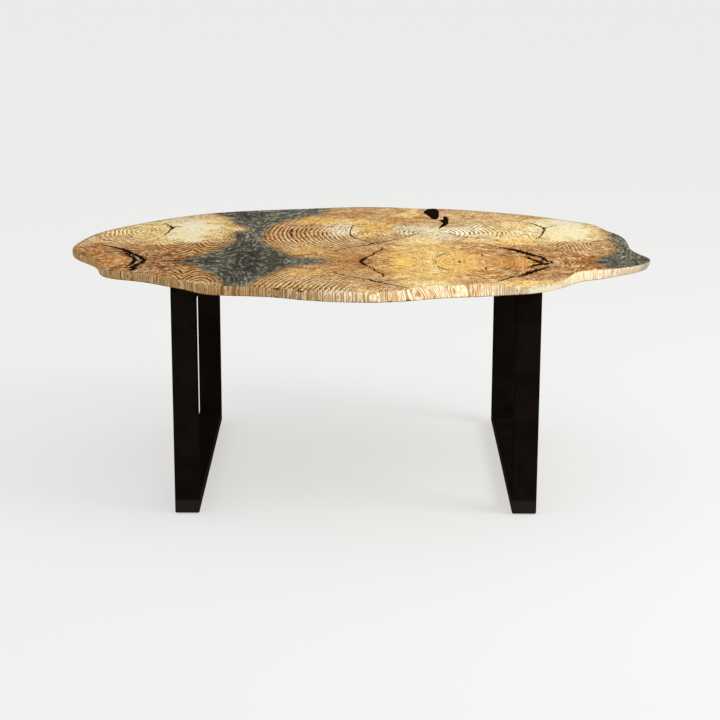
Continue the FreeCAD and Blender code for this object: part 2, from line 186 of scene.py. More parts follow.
# Each patch: tone, middle X, middle Y, reach in X, reach in Y, weight, and how strongly the growth
# rings show in it
patches = (
    ("wheat", -750, 240, 110, 120, 1.2, 0.8), ("tan", -880, 200, 30, 90, 1.0, 0.5),
    ("lemon", -615, 350, 34, 42, 1.4, 0.1), ("ivory", -552, 340, 34, 70, 2.0, 0.0),
    ("cream", -530, 200, 66, 120, 3.0, 0.03), ("straw", -450, 230, 40, 110, 1.2, 0.8),
    ("fawn", -500, 450, 70, 70, 1.4, 0.2), ("cream", -620, 440, 60, 40, 1.0, 0.2),
    ("fawn", -790, 80, 90, 60, 1.4, 0.3), ("straw", -690, 90, 50, 50, 1.0, 0.4),
    ("hazel", -560, -60, 90, 80, 1.5, 1.0), ("hazel", -460, -20, 34, 70, 1.2, 1.0),
    ("umber", -640, -160, 60, 70, 1.4, 0.4), ("umber", -560, -225, 84, 50, 1.7, 0.5),
    ("chestnut", -830, -50, 60, 40, 1.2, 0.5), ("chestnut", -850, -160, 60, 80, 1.2, 0.4),
    ("rust", -762, -262, 46, 60, 3.0, 0.2), ("tan", -245, 150, 46, 160, 1.4, 1.0),
    ("hazel", -190, 190, 40, 100, 1.6, 1.0), ("sand", -110, 130, 60, 120, 1.4, 1.0),
    ("pearl", -58, 270, 34, 90, 4.0, 0.4), ("gold", -120, 410, 90, 46, 1.6, 0.2),
    ("straw", -20, 350, 24, 44, 1.6, 0.2), ("tan", 30, 570, 150, 70, 1.6, 0.3),
    ("straw", 182, 560, 14, 90, 1.8, 0.1), ("honey", 150, 430, 80, 60, 1.4, 0.3),
    ("gold", 55, 290, 50, 100, 1.8, 0.3), ("tan", 100, 150, 60, 50, 1.2, 0.4),
    ("bone", 165, 250, 36, 62, 1.4, 0.9), ("ochre", -150, -110, 60, 60, 1.6, 0.3),
    ("tan", -20, -40, 70, 60, 1.2, 0.5), ("honey", -60, -190, 70, 60, 1.4, 0.8),
    ("chestnut", 10, -230, 40, 60, 1.6, 0.8), ("bone", 250, 245, 46, 88, 2.2, 0.2),
    ("shell", 364, 255, 58, 58, 3.0, 1.0), ("wheat", 450, 240, 50, 60, 1.8, 1.0),
    ("fawn", 400, 480, 120, 80, 1.4, 0.25), ("wheat", 560, 300, 60, 100, 2.0, 0.35),
    ("butter", 655, 370, 40, 50, 2.0, 0.1), ("butter", 710, 210, 66, 130, 3.0, 0.04),
    ("ivory", 700, 350, 46, 80, 2.4, 0.0), ("wheat", 795, 220, 30, 110, 1.8, 0.4),
    ("straw", 520, 80, 110, 56, 2.0, 0.2), ("tan", 680, 0, 90, 70, 1.5, 0.8),
    ("tan", 790, -30, 40, 80, 1.2, 0.4), ("hazel", 620, -160, 50, 80, 1.0, 0.4),
    ("chestnut", 690, -220, 60, 60, 1.3, 0.4), ("hazel", 540, -50, 34, 40, 1.2, 0.4),
    ("wheat", 220, 60, 60, 70, 1.4, 0.2), ("gold", 150, -130, 60, 90, 1.6, 0.2),
    ("sun", 152, -250, 26, 60, 2.0, 0.1), ("straw", 225, -170, 40, 120, 1.8, 0.25),
    ("gold", 320, -200, 60, 110, 1.6, 0.12), ("amber", 480, -250, 70, 70, 1.8, 0.12),
    ("honey", 400, -60, 80, 80, 1.4, 0.2), ("umber", 470, -150, 40, 40, 0.8, 0.25),
    ("milk", -560, 272, 38, 56, 3.4, 0.03), ("wheat", -662, 196, 28, 112, 2.2, 0.25),
    ("wheat", -620, 50, 40, 40, 1.6, 0.4), ("cream", -630, 392, 50, 36, 1.6, 0.15),
    ("wheat", -466, 370, 46, 60, 2.2, 0.3), ("wheat", -394, 248, 40, 30, 2.0, 0.3),
    ("tan", 160, 350, 36, 36, 1.3, 0.3), ("fawn", 310, 338, 54, 36, 1.8, 0.6),
    ("gold", 240, -10, 40, 36, 1.4, 0.2), ("shell", 550, 195, 44, 40, 1.2, 0.3),
    ("wheat", 625, 66, 40, 34, 1.6, 0.4), ("straw", 36, 186, 32, 36, 1.4, 0.3),
    ("umber", -768, -150, 30, 40, 1.8, 0.5), ("hazel", -712, -86, 32, 36, 1.4, 0.6),
    ("hazel", 450, -72, 44, 34, 2.0, 0.3), ("ochre", 58, -206, 28, 36, 1.2, 0.3),
    ("sand", -240, -24, 36, 32, 1.4, 0.7), ("tan", 780, 62, 50, 30, 2.2, 0.7),
    ("straw", 40, 395, 34, 36, 1.4, 0.3), ("amber", 66, -128, 36, 44, 2.0, 0.3),
    ("chestnut", 622, -104, 46, 46, 1.8, 0.5), ("hazel", 644, -50, 40, 30, 1.6, 0.6),
    ("tan", -770, -24, 44, 30, 1.6, 0.4), ("straw", -482, 156, 34, 60, 2.4, 0.25),
    ("wheat", -672, 314, 36, 30, 2.6, 0.3), ("wheat", 2, 256, 40, 36, 1.5, 0.4),
    ("sand", -108, -200, 40, 32, 1.4, 0.5), ("straw", 130, 545, 30, 40, 1.2, 0.2),
    ("chestnut", 4, 548, 60, 38, 2.8, 0.3), ("chestnut", -634, -96, 40, 40, 1.6, 0.4),
    ("shell", 604, 302, 34, 50, 1.2, 0.1), ("umber", 552, -76, 28, 30, 1.4, 0.3),
    ("umber", 682, -248, 32, 26, 2.4, 0.4), ("umber", -654, -130, 36, 34, 1.8, 0.4),
    ("tan", 396, 18, 40, 30, 1.4, 0.2), ("bone", 274, 123, 36, 34, 1.6, 0.3),
    ("pearl", 426, 124, 42, 34, 1.5, 0.3),
)

# Outlines of the charcoal stain, on the half behind the mirror line. They run on past it, so that
# no rim of the stain falls on the fold.
stainOutlines = (
    ((-580, -700), (-580, -262), (-556, -248), (-528, -218), (-488, -165), (-456, -105),
     (-420, -20), (-402, 60), (-418, 140), (-408, 205), (-366, 238), (-368, 276), (-424, 330),
     (-436, 400), (-440, 455), (-480, 500), (-630, 720), (-98, 720), (-108, 600), (-132, 530),
     (-186, 470), (-232, 420), (-268, 370), (-298, 300), (-312, 200), (-322, 90), (-310, 0),
     (-268, -60), (-240, -120), (-215, -170), (-180, -206), (-140, -218), (-110, -236), (-86, -258),
     (-72, -700)),
    ((744, -700), (744, -240), (776, -190), (818, -116), (834, -40), (842, 60), (836, 150),
     (842, 240), (990, 240), (990, -700)),
)

# Where the stain is deepest: middle X, middle Y, reach in X, reach in Y
deepStain = ((-398, 525, 56, 110), (-340, -150, 90, 110), (-335, -257, 90, 110),
             (-258, -196, 46, 80), (-400, 30, 20, 140), (-482, -236, 56, 36),
             (-380, -30, 40, 60), (890, -214, 34, 38))

# Small dark nicks on the live edge: X, share of the way up, reach along and up in mm
nicks = ((-236, 0.96, 14, 6), (-168, 0.9, 14, 4), (-236, 0.05, 9, 4), (-172, 0.04, 8, 4),
         (-640, 0.05, 7, 3), (96, 0.04, 6, 4), (148, 0.04, 9, 4), (-110, 0.05, 6, 3))


# How the patches run together
figure = {
    "baseTone": "tan",          # shows where no patch reaches
    "baseStrength": 0.4,        # of the rings there
    "baseWeight": 0.02,
    "sharpness": 2.2,           # above 1, a patch keeps more of its tone up to its border
    "wanderMm": 20,             # how far the borders stray
    "wanderWaveMm": 90,
    "wanderHeadings": 7,
    "waveSpread": (0.6, 1.6),
}


def bell(x, y, middleX, middleY, reachX, reachY):
    # exp(-distance squared), with the distance counted in reaches
    return np.exp(-((x - middleX) / reachX) ** 2 - ((y - middleY) / reachY) ** 2)


def woodTone(x, y):
    # The mean of the patches' tones and ring strengths, weighted by their bells, over a weak base
    base = np.array([*linear(tones[figure["baseTone"]]), figure["baseStrength"]])
    total = np.full(x.shape, figure["baseWeight"])
    mixed = figure["baseWeight"] * base * np.ones(x.shape + (1,))
    for tone, middleX, middleY, reachX, reachY, weight, strength in patches:
        share = (weight * bell(x, y, middleX, middleY, reachX, reachY)) ** figure["sharpness"]
        total = total + share
        mixed = mixed + share[..., None] * np.array([*linear(tones[tone]), strength])
    return mixed / total[..., None]


def warped(x, y, seed):
    # Each place moved by up to about the wander: sums of sines of a place turned to even headings
    dice = np.random.default_rng(seed)
    moved = []
    for start in (x, y):
        shift = 0
        for heading in np.linspace(0, math.pi, figure["wanderHeadings"], endpoint=False):
            pace = 2 * math.pi / (figure["wanderWaveMm"] * dice.uniform(*figure["waveSpread"]))
            shift = shift + np.sin((x * math.cos(heading) + y * math.sin(heading)) * pace
                                   + dice.uniform(0, 2 * math.pi))
        moved.append(start + figure["wanderMm"] * shift / 3)   # the sum seldom goes past 3
    return moved


def distanceOutside(x, y, outline):
    # Signed distance to a closed outline, negative inside, by the nearest of its straight sides
    corners = np.array(outline, float)
    nearest = np.full(x.shape, np.inf)
    inside = np.zeros(x.shape, bool)
    for (ax, ay), (bx, by) in zip(corners, np.roll(corners, -1, axis=0)):
        along = ((x - ax) * (bx - ax) + (y - ay) * (by - ay)) / ((bx - ax) ** 2 + (by - ay) ** 2)
        along = np.clip(along, 0, 1)
        gap = np.hypot(x - ax - along * (bx - ax), y - ay - along * (by - ay))
        nearest = np.minimum(nearest, gap)
        if ay != by:
            inside ^= ((ay > y) != (by > y)) & (x < ax + (y - ay) * (bx - ax) / (by - ay))
    return np.where(inside, -nearest, nearest)


# Slab: its shape

slab = {
    "around": 960,              # points round the outline
    "topRings": 66,
    "edgeRows": 13,
    "bottomRings": 9,
    "bandShares": (0.0, 0.35, 0.75, 1.0),   # heights of the CAD edge's outlines
    "bandTolerance": 0.05 * mm,
    "belowCadTop": 0.2 * mm,    # the polished fills stand that much proud of the wood
    "aboveCadUnderside": 0.3 * mm,
    "easedCorner": 1.5 * mm,
    "ridgeHeight": 0.8 * mm,
    "ridgeCounts": (61, 97, 143, 211, 283),   # ridges round the edge, in waves of five lengths
    "rimWidthMm": 26,           # weathered band along the back of the top and round its ends
    "rimLean": 0.25,            # it starts that share of the distance from the middle to the front
    "rimFadeMm": 200,           # and comes in over this
    "nickLimitY": -150,         # nicks are on the front of the edge only
    "seed": 7,
}


def cadOutlines():
    # The rings of the CAD slab's edge: at each height, the radius for an even fan of angles.
    # Only the bands of the edge join neighbouring heights, so their triangles give its points.
    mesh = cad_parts["slab_top"].data
    points = np.zeros(len(mesh.vertices) * 3)
    mesh.vertices.foreach_get("co", points)
    points = points.reshape(-1, 3)
    mesh.calc_loop_triangles()
    corners = np.zeros(len(mesh.loop_triangles) * 3, int)
    mesh.loop_triangles.foreach_get("vertices", corners)
    corners = corners.reshape(-1, 3)
    low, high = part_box("slab_top")
    heights = [low.z + share * (high.z - low.z) for share in slab["bandShares"]]
    zs = points[corners, 2]
    angles = np.linspace(0, 2 * math.pi, slab["around"], endpoint=False)
    tolerance = slab["bandTolerance"]
    radii = []
    for i, height in enumerate(heights):
        below, above = (heights[0], heights[1]) if i == 0 else (heights[i - 1], height)
        band = (abs(zs.min(1) - below) < tolerance) & (abs(zs.max(1) - above) < tolerance)
        chosen = points[np.unique(corners[band])]
        chosen = chosen[abs(chosen[:, 2] - height) < tolerance]
        turned = np.arctan2(chosen[:, 1], chosen[:, 0]) % (2 * math.pi)
        order = np.argsort(turned)
        reach = np.hypot(chosen[:, 0], chosen[:, 1])
        radii.append(np.interp(angles, turned[order], reach[order], period=2 * math.pi))
    return angles, np.array(heights), np.array(radii)


slabAngles, slabHeights, slabRadii = cadOutlines()
firstEdgeRow = slab["topRings"] - 1


def waves(angles, counts, height, seed):
    # A sum of cosines round the outline: wave i has its own count and phase and height / sqrt(i)
    phases = np.random.default_rng(seed).uniform(0, 2 * math.pi, len(counts))
    return sum(height / math.sqrt(i + 1) * np.cos(n * angles + p)
               for i, (n, p) in enumerate(zip(counts, phases)))


def slabRows():
    # Rows of points round the slab: rings on the top from the middle out, rows down the edge, and
    # rings on the underside back to the middle. Also each row's share of the full outline.
    low, high = slabHeights[0] + slab["aboveCadUnderside"], slabHeights[-1] - slab["belowCadTop"]

    # Edge, from the top down: radius(angle, z) runs between the CAD rings, less an eased corner
    # e * (1 - distance / 2e)^2 at the top and the bottom, less ridges that stand up the edge
    down = 0.5 - 0.5 * np.cos(np.linspace(0, math.pi, slab["edgeRows"]))
    z = high + (low - high) * down
    band = np.clip(np.searchsorted(slabHeights, z) - 1, 0, len(slabHeights) - 2)
    above = ((z - slabHeights[band]) / (slabHeights[band + 1] - slabHeights[band]))[:, None]
    radius = slabRadii[band] * (1 - above) + slabRadii[band + 1] * above
    fromCorner = np.minimum(high - z, z - low)
    eased = slab["easedCorner"] * np.clip(1 - fromCorner / (2 * slab["easedCorner"]), 0, 1) ** 2
    ridges = waves(slabAngles, slab["ridgeCounts"], slab["ridgeHeight"], slab["seed"])
    ridges = np.minimum(ridges - slab["ridgeHeight"], 0)
    standing = np.sin(math.pi * np.clip(down, 0.02, 0.98)) ** 0.5   # ridges fade at the corners
    radius = radius - eased[:, None] + ridges[None, :] * standing[:, None]
    edge = np.stack([radius * np.cos(slabAngles), radius * np.sin(slabAngles),
                     np.repeat(z[:, None], slab["around"], axis=1)], axis=-1)

    # Faces: rings shrink from the first and last rows of the edge to the middle
    topShares = np.linspace(0, 1, slab["topRings"] + 1)[1:-1]
    bottomShares = np.linspace(1, 0, slab["bottomRings"] + 1)[1:-1]
    top = edge[0][None] * topShares[:, None, None]
    top[..., 2] = high
    bottom = edge[-1][None] * bottomShares[:, None, None]
    bottom[..., 2] = low
    shares = np.concatenate([topShares, np.ones(slab["edgeRows"]), bottomShares])
    return np.concatenate([top, edge, bottom]), shares


def setFigure(mesh, points, rows, shares):
    # The figure of the wood, as values on the points: the last two points are the faces' middles
    around = slab["around"]
    x, y, z = points.T / mm
    folded = mirrorLine + abs(y - mirrorLine)
    tone = woodTone(*warped(x, folded, slab["seed"]))
    ringStrength = tone[:, 3].copy()
    tone[:, 3] = 1
    mesh.attributes.new("tone", "FLOAT_COLOR", "POINT").data.foreach_set("color", tone.ravel())
    gap = np.min([distanceOutside(x, folded, outline) for outline in stainOutlines], axis=0)
    depth = np.max([bell(x, folded, *place) for place in deepStain], axis=0)
    lastEdgeRow = firstEdgeRow + slab["edgeRows"] - 1
    onEdge = np.zeros(len(points))
    onEdge[(firstEdgeRow + 1) * around:lastEdgeRow * around] = 1
    outerReach = np.hypot(*rows[firstEdgeRow, :, :2].T) / mm
    rimGap = ((1 - shares)[:, None] * outerReach[None, :]).ravel()
    rimGap = np.concatenate([rimGap, [outerReach.max()] * 2])
    weathered = np.clip(1 - rimGap / slab["rimWidthMm"], 0, 1)
    weathered = weathered * np.clip((y + slab["rimLean"] * abs(x)) / slab["rimFadeMm"], 0, 1)
    nick = np.zeros(len(points))
    for middleX, share, reachX, reachZ in nicks:
        away = bell(x, z - z.min(), middleX, share * np.ptp(z), reachX, reachZ)
        nick = np.maximum(nick, away * (y < slab["nickLimitY"]) * onEdge)
    for name, values in (("stainGap", gap * mm), ("stainDepth", depth), ("nick", nick),
                         ("ringStrength", ringStrength), ("onEdge", onEdge),
                         ("weathered", weathered)):
        mesh.attributes.new(name, "FLOAT", "POINT").data.foreach_set("value", values)


def setEdgeGrain(mesh, points, rows, quadCount):
    # Edge coordinates: metres along the outline and up the edge
    around = slab["around"]
    outline = rows[firstEdgeRow + slab["edgeRows"] // 2, :, :2]
    steps = np.hypot(*(np.roll(outline, -1, axis=0) - outline).T)
    along = np.concatenate([[0], np.cumsum(steps)])
    heading = np.roll(outline, -1, axis=0) - np.roll(outline, 1, axis=0)
    heading = heading / np.hypot(*heading.T)[:, None]
    slip = np.sum((rows[..., :2] - outline) * heading, axis=-1)   # columns aren't square to it
    slip = np.concatenate([slip.ravel(), [0, 0]])
    corners = np.zeros(len(mesh.loops), int)
    mesh.loops.foreach_get("vertex_index", corners)
    column = np.minimum(corners, len(rows) * around - 1) % around
    quadColumns = column[:quadCount * 4].reshape(-1, 4)
    wraps = np.ptp(quadColumns, axis=1) > around / 2
    atSeam = np.zeros(len(corners), bool)
    atSeam[:quadCount * 4] = (wraps[:, None] & (quadColumns == 0)).ravel()
    u = np.where(atSeam, along[-1], along[column]) + slip[corners]
    v = points[corners, 2] - points[:, 2].min()
    mesh.uv_layers.new(name="edgeGrain").data.foreach_set("uv", np.stack([u, v], 1).ravel())


def buildSlab(material):
    rows, shares = slabRows()
    points, quads, fans = closedRows(rows, (0, 0, rows[0, 0, 2]), (0, 0, rows[-1, 0, 2]))
    piece = addMesh("slab", [(points, quads, fans)], material)
    setFigure(piece.data, points, rows, shares)
    setEdgeGrain(piece.data, points, rows, len(quads))
    return piece


# Growth rings: each heart has its X and Y, a head start, which moves its border with the next
# heart outwards, and how densely its rings stand along X and along Y. Inside the lens, the rings
# follow its own outline. In mm.

ringHearts = ((-718, 215, 60, 1.0, 0.6), (-588, 96, 10, 1.3, 0.45), (-468, 96, 10, 1.3, 0.45),
              (250, 195, 415, 1.0, 1.0), (782, 6, 90, 1.2, 0.45))
lens = {"x": 418, "reachX": 182, "reachY": 300}

# A shake is a noise's cells to the metre, its detail and roughness, and how far it moves a line
# from end to end of its swing
ringSetup = {
    "pitchMm": 15.0,
    "lateness": 1.3,            # above 1, the dark line that ends a ring is thinner
    "mergeMm": 12,              # the rings of two hearts round into each other over this
    "slowShake": (10.0, 2.0, 0.55, 24 * mm),
    "quickShake": (55.0, 2.0, 0.55, 6 * mm),
    "lensShake": (14.0, 3.0, 0.55, 30 * mm),
    "strokePace": 0.3,          # strokes run that much slower along the rings than across them
}


def ringProfile(tree, place):
    # The place folded at the mirror line; a place that runs fast across the rings and slowly along
    # them; and how dark the rings make each point, 0 to 1: pale early wood, then a dark sharp line
    x, y = (addNode(tree, "SeparateXYZ", (place,), axis) for axis in "XY")
    behind = addNode(tree, "Math", (y, mirrorLine * mm), operation="SUBTRACT")
    behind = addNode(tree, "Math", (behind,), operation="ABSOLUTE")
    flat = addNode(tree, "CombineXYZ", (x, behind))

    def distance(middleX, middleY, denseX, denseY):
        away = addNode(tree, "VectorMath", (flat, (middleX * mm, (middleY - mirrorLine) * mm, 0)),
                       operation="SUBTRACT")
        away = addNode(tree, "VectorMath", (away, (denseX, denseY, 0)), operation="MULTIPLY")
        return addNode(tree, "VectorMath", (away,), "Value", operation="LENGTH")

    reach = None
    for middleX, middleY, headStart, denseX, denseY in ringHearts:
        gap = addNode(tree, "Math", (distance(middleX, middleY, denseX, denseY), headStart * mm),
                      operation="SUBTRACT")
        reach = gap if reach is None else addNode(
            tree, "Math", (reach, gap, ringSetup["mergeMm"] * mm), operation="SMOOTH_MIN")
    inner = distance(lens["x"], mirrorLine, 1.0, lens["reachX"] / lens["reachY"])
    wavy = addNode(tree, "Math", (inner, shake(tree, flat, *ringSetup["lensShake"])),
                   operation="ADD")
    inLens = addNode(tree, "Math", (wavy, lens["reachX"] * mm), operation="LESS_THAN")
    # A mix node has its numbers in places 2 and 3
    reach = addNode(tree, "Mix", {0: inLens, 2: reach, 3: inner}, data_type="FLOAT")
    for name in ("slowShake", "quickShake"):
        reach = addNode(tree, "Math", (reach, shake(tree, flat, *ringSetup[name])),
                        operation="ADD")
    slowly = addNode(tree, "VectorMath", {0: flat, "Scale": ringSetup["strokePace"]},
                     operation="SCALE")
    slowX, slowY = (addNode(tree, "SeparateXYZ", (slowly,), axis) for axis in "XY")
    strokes = addNode(tree, "CombineXYZ", (reach, slowX, slowY))
    turns = addNode(tree, "Math", (reach, ringSetup["pitchMm"] * mm), operation="DIVIDE")
    saw = addNode(tree, "Math", (turns,), operation="FRACT")
    saw = addNode(tree, "Math", (saw, ringSetup["lateness"]), operation="POWER")
    return flat, strokes, saw


# Oiled hardwood cut across the log: satin, with growth rings, pores and a charcoal fungal stain.
# It hardly gleams in the photograph, so its highlight is off.

# Each noise: the place that it lies on, its cells to the metre, detail, roughness and twist
woodNoises = {
    "breaks": ("flat", 30.0, 3.0, 0.7, 0.0),      # stretches of 33 mm where the rings fade
    "clouds": ("flat", 17.0, 4.0, 0.6, 0.4),      # slow clouds, 60 mm across
    "flecks": ("strokes", 135.0, 3.0, 0.7, 0.0),  # strokes of 7 mm that follow the rings
    "pores": ("drawnOut", 150.0, 2.0, 0.7, 0.0),  # drawn 7 mm wide, coarse enough to show
    "streaks": ("strokes", 64.0, 3.0, 0.7, 0.0),  # in the stain, 16 mm
    "mottle": ("drawnOut", 84.0, 3.0, 0.75, 0.0),  # in the stain, 12 mm
}

# Layers of pale and dark on the patches' tones: the noise that drives the layer, where it starts
# and where it is whole, how much it covers there, its colour and how it mixes
woodLayers = (
    ("clouds", 0.50, 0.70, 0.60, "#c49458", "MULTIPLY"),
    ("clouds", 0.48, 0.30, 0.40, "#fdf0c4", "MIX"),
    ("flecks", 0.50, 0.64, 0.70, "#9c6c3e", "MULTIPLY"),
    ("flecks", 0.48, 0.34, 0.60, "#fbe8b8", "MIX"),
    ("pores", 0.50, 0.66, 0.75, "#96693e", "MULTIPLY"),
)
# A map gives what the driver goes from and to, then what the result goes from and to
wood = {
    "livelyMap": (0.0, 0.25, 0.3, 1.0),     # ring strength to the strength of the layers
    "calmMap": (0.4, 1.0, 0.0, 0.4),        # and what strong rings take off it
    "breakMap": (0.36, 0.58, 0.6, 1.3),     # noise to the strength of the ring lines
    "earlyRange": (0.3, 1.0),
    "earlyGain": (1.33, 1.34, 1.30, 1.0),   # the pale early wood is that many times lighter
    "ringLine": "#5f3c1c",
    "weathered": "#8d7d66",
    "weatheredMost": 0.6,
    "poreSquash": (1, 0.5, 1),              # pores are twice as long from front to back
    "roughness": 0.55,
    "bump": {"Strength": 0.3, "Distance": 0.4 * mm},
}
stain = {
    "rimShake": (24.0, 4.0, 0.7, 80 * mm),
    "tongueShake": (90.0, 3.0, 0.7, 45 * mm),   # tongues of the stain that follow the rings
    "lights": ("#a0a18e", "#b2aa8c"),           # the pale mottle, greyer and browner in clouds
    "lightRange": (0.4, 0.6),
    "dark": "#444745",
    "mottleRange": (0.45, 0.62),
    "deeps": ("#1d2221", "#63665f"),            # dark and pale mottle where the stain is deepest
    "deepRange": (0.47, 0.64),
    "deepMost": 0.85,
    "ringLine": "#50504c",
    "ringMost": 0.5,
    "halo": "#a99a78",
    "haloRange": (45 * mm, 0.0, 0.55),          # from and to a distance outside, and its most
    "bodyRange": (14 * mm, -16 * mm, 0.95),
}


def woodFigure(tree, noises, carried, saw):
    # The patches' tones under the layers, then the rings. The layers are weakest where the wood has
    # no rings, and a little weaker where its rings are strongest.
    strength = carried["ringStrength"]
    lively, calm = (addNode(tree, "MapRange", (strength, *wood[name]), interpolation_type="SMOOTHSTEP")
                    for name in ("livelyMap", "calmMap"))
    lively = addNode(tree, "Math", (lively, calm), operation="SUBTRACT")
    shade = addNode(tree, "Attribute", output="Color", attribute_name="tone")
    for driver, start, end, most, cover, mode in woodLayers:
        most = addNode(tree, "Math", (lively, most), operation="MULTIPLY")
        shade = layOver(tree, shade, cover, noises[driver], start, end, most, mode)
    early = addNode(tree, "Math", (1.0, saw), operation="SUBTRACT")
    early = addNode(tree, "Math", (early, strength), operation="MULTIPLY")
    shade = layOver(tree, shade, wood["earlyGain"], early, *wood["earlyRange"], mode="MULTIPLY")
    broken = addNode(tree, "MapRange", (noises["breaks"], *wood["breakMap"]),
                     interpolation_type="SMOOTHSTEP")
    lines = addNode(tree, "Math", (saw, strength), operation="MULTIPLY")
    lines = addNode(tree, "Math", (lines, broken), operation="MULTIPLY")
    shade = layOver(tree, shade, wood["ringLine"], lines, mode="MULTIPLY", curve="LINEAR")
    return layOver(tree, shade, wood["weathered"], carried["weathered"], most=wood["weatheredMost"],
                   curve="LINEAR")


def charcoalStain(tree, shade, flat, strokes, noises, carried, saw):
    # Shakes break up the stain's rim, a halo lies outside it, and its body is mottled and streaked
    # by the rings
    rim = carried["stainGap"]
    for place, name in ((flat, "rimShake"), (strokes, "tongueShake")):
        rim = addNode(tree, "Math", (rim, shake(tree, place, *stain[name])), operation="ADD")
    mottle = addNode(tree, "Mix", {0: 0.5, 2: noises["streaks"], 3: noises["mottle"]},
                     data_type="FLOAT")
    light = layOver(tree, *stain["lights"], noises["clouds"], *stain["lightRange"])
    grey = layOver(tree, stain["dark"], light, mottle, *stain["mottleRange"])
    deep = layOver(tree, *stain["deeps"], mottle, *stain["deepRange"])
    grey = layOver(tree, grey, deep, carried["stainDepth"], most=stain["deepMost"], curve="LINEAR")
    grey = layOver(tree, grey, stain["ringLine"], saw, most=stain["ringMost"], mode="MULTIPLY",
                   curve="LINEAR")
    shade = layOver(tree, shade, stain["halo"], rim, *stain["haloRange"], "MULTIPLY")
    return layOver(tree, shade, grey, rim, *stain["bodyRange"])


# Edge: the saw meets each ring as an oval, so that stripes stand up the edge in matched pairs
edgeLook = {
    "cellMm": 46.0,             # width of one set of ovals
    "stripeMm": 8.0,            # from one stripe to the next
    "ovalSquash": 0.36,         # ovals are nearly three times as tall as they are wide
    "uprightSquash": 0.25,      # and the grain between them four times
    "middleUp": 15 * mm,
    "cellShake": (7.0, 2.0, 0.55, 160 * mm),
    "stripeShake": (45.0, 3.0, 0.55, 12 * mm),
    "tintShake": (4.0, 1.0, 0.55, 0.9),
    "lineLateness": 1.5,        # above 1, the lines between the stripes are wider
    "lineMap": (0.02, 0.22, 0.25, 1.0),
    "line": "#8f653c",
    "bandNoise": {"Scale": 75.0, "Detail": 3.0, "Roughness": 0.7},   # stretches of 13 mm
    "bandRange": (0.38, 0.62),
    "pales": ("#e0ba86", "#fff0cc"),
    "paintedRimHighlight": "#fff3cf",        # painted highlight on the worn rim, from one X to another, below the upper corner
    "paintedRimHighlightFrom": (0.50, 0.515),
    "paintedRimHighlightTo": (0.595, 0.62),
    "paintedRimHighlightBelow": (0.026, 0.019),
    "paintedRimHighlightStrength": 0.9,
}

# Layers on the stripes, as for the wood, driven by places on the edge
edgeTints = (
    ("patchy", 0.0, -0.28, 1.0, "#c8b9a2", "MULTIPLY"),      # duller to the left
    ("rightward", 0.3, 0.6, 0.5, "#efe1c0", "MIX"),          # paler to the right
    ("rightward", 0.86, 0.905, 0.8, "#96958a", "MIX"),       # grey at the right tip
)
edgeMarks = (
    ("upward", 0.0035, 0.0005, 0.8, "#937a5c", "MULTIPLY"),  # the lower corner
    ("pores", 0.52, 0.72, 0.5, "#a57c52", "MULTIPLY"),
    ("nick", 0.3, 0.7, 0.85, "#3a2514", "MIX"),
)


